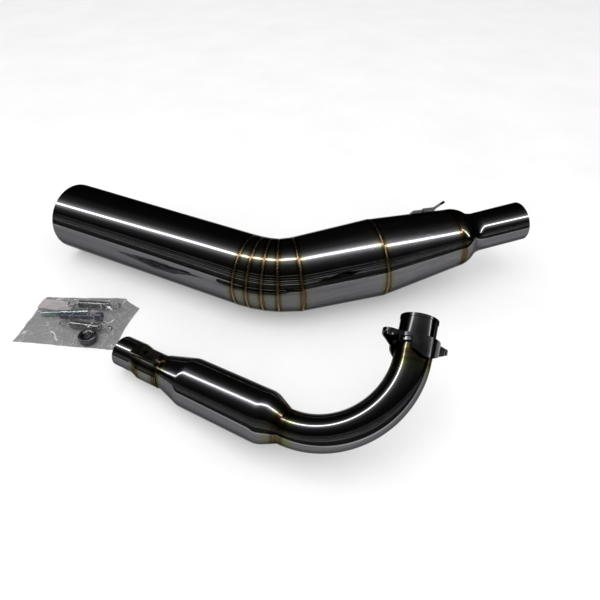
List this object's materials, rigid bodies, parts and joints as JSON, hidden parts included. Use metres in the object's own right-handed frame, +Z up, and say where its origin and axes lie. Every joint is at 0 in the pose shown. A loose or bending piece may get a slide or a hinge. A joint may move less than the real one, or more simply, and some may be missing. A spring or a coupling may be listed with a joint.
{
  "type": "racing exhaust system",
  "caption": "Two-piece racing exhaust kit laid flat: pie-cut muffler with open tail, header with resonator, bend and loose two-bolt flange, and a bag of fittings.",
  "frame": {"origin": "centre of the laid-out kit's footprint, on the floor", "axes": "+Z up; +X from the tail mouth's side towards the muffler's inlet; +Y from the header towards the muffler"},
  "size_m": [0.5389, 0.3378, 0.1013],
  "materials": {
    "polished_steel": "mirror-polished stainless steel with fine grinding streaks",
    "weld_bead": "weld bead with straw and brown heat tint",
    "core_steel": "plain perforated stainless steel",
    "glass_wool": "loose glass wool",
    "graphite": "pressed graphite and wire",
    "bracket_steel": "satin stainless plate",
    "flange_steel": "pressed stainless plate, satin",
    "poly_film": "clear crinkled poly film",
    "spring_steel": "bright spring wire",
    "zinc_plate": "blue zinc plate",
    "black_oxide": "black oxide",
    "card": "matt card"
  },
  "bodies": {
    "muffler": {"tail_tube": "polished_steel", "elbow_segment_1": "polished_steel", "elbow_segment_2": "polished_steel", "elbow_segment_3": "polished_steel", "elbow_segment_4": "polished_steel", "body_cone": "polished_steel", "inlet_cone": "polished_steel", "inlet_reducer": "polished_steel", "inlet_tube": "polished_steel", "muffler_weld_beads": "weld_bead", "perforated_core": "core_steel", "packing_wool": "glass_wool", "core_ring_rear": "core_steel", "core_ring_front": "core_steel", "slip_gasket": "graphite", "hanger_pad": "bracket_steel", "hanger_strap": "bracket_steel", "muffler_spring_hooks": "bracket_steel"},
    "header": {"outlet_tube": "polished_steel", "outlet_flare": "polished_steel", "neck_tube": "polished_steel", "resonator": "polished_steel", "bend_tube": "polished_steel", "port_stub": "polished_steel", "port_lip": "polished_steel", "spring_saddle": "bracket_steel", "header_weld_beads": "weld_bead"},
    "flange_ring": {"flange_ring": "flange_steel"},
    "flange_plate": {"flange_plate": "flange_steel"},
    "fittings_bag": {"poly_bag": "poly_film", "spring_far": "spring_steel", "spring_near": "spring_steel", "spare_stud": "zinc_plate", "hanger_bolt": "black_oxide", "spacer_collar": "black_oxide", "card": "card"}
  },
  "joints": [
    {"name": "header_lift", "type": "slide", "parent": "muffler", "child": "header", "axis": [0, 0, 1], "range_m": [0, 0.12]},
    {"name": "flange_slide", "type": "slide", "parent": "header", "child": "flange_ring", "axis": [0.2557, 0.8638, 0.4341], "range_m": [-0.007, 0.0149]},
    {"name": "flange_turn", "type": "hinge", "parent": "flange_ring", "child": "flange_plate", "pos_m": [0.11147, -0.10022, 0.07851], "axis": [0.2557, 0.8638, 0.4341], "continuous": true},
    {"name": "bag_lift", "type": "slide", "parent": "muffler", "child": "fittings_bag", "axis": [0, 0, 1], "range_m": [0, 0.12]}
  ]
}
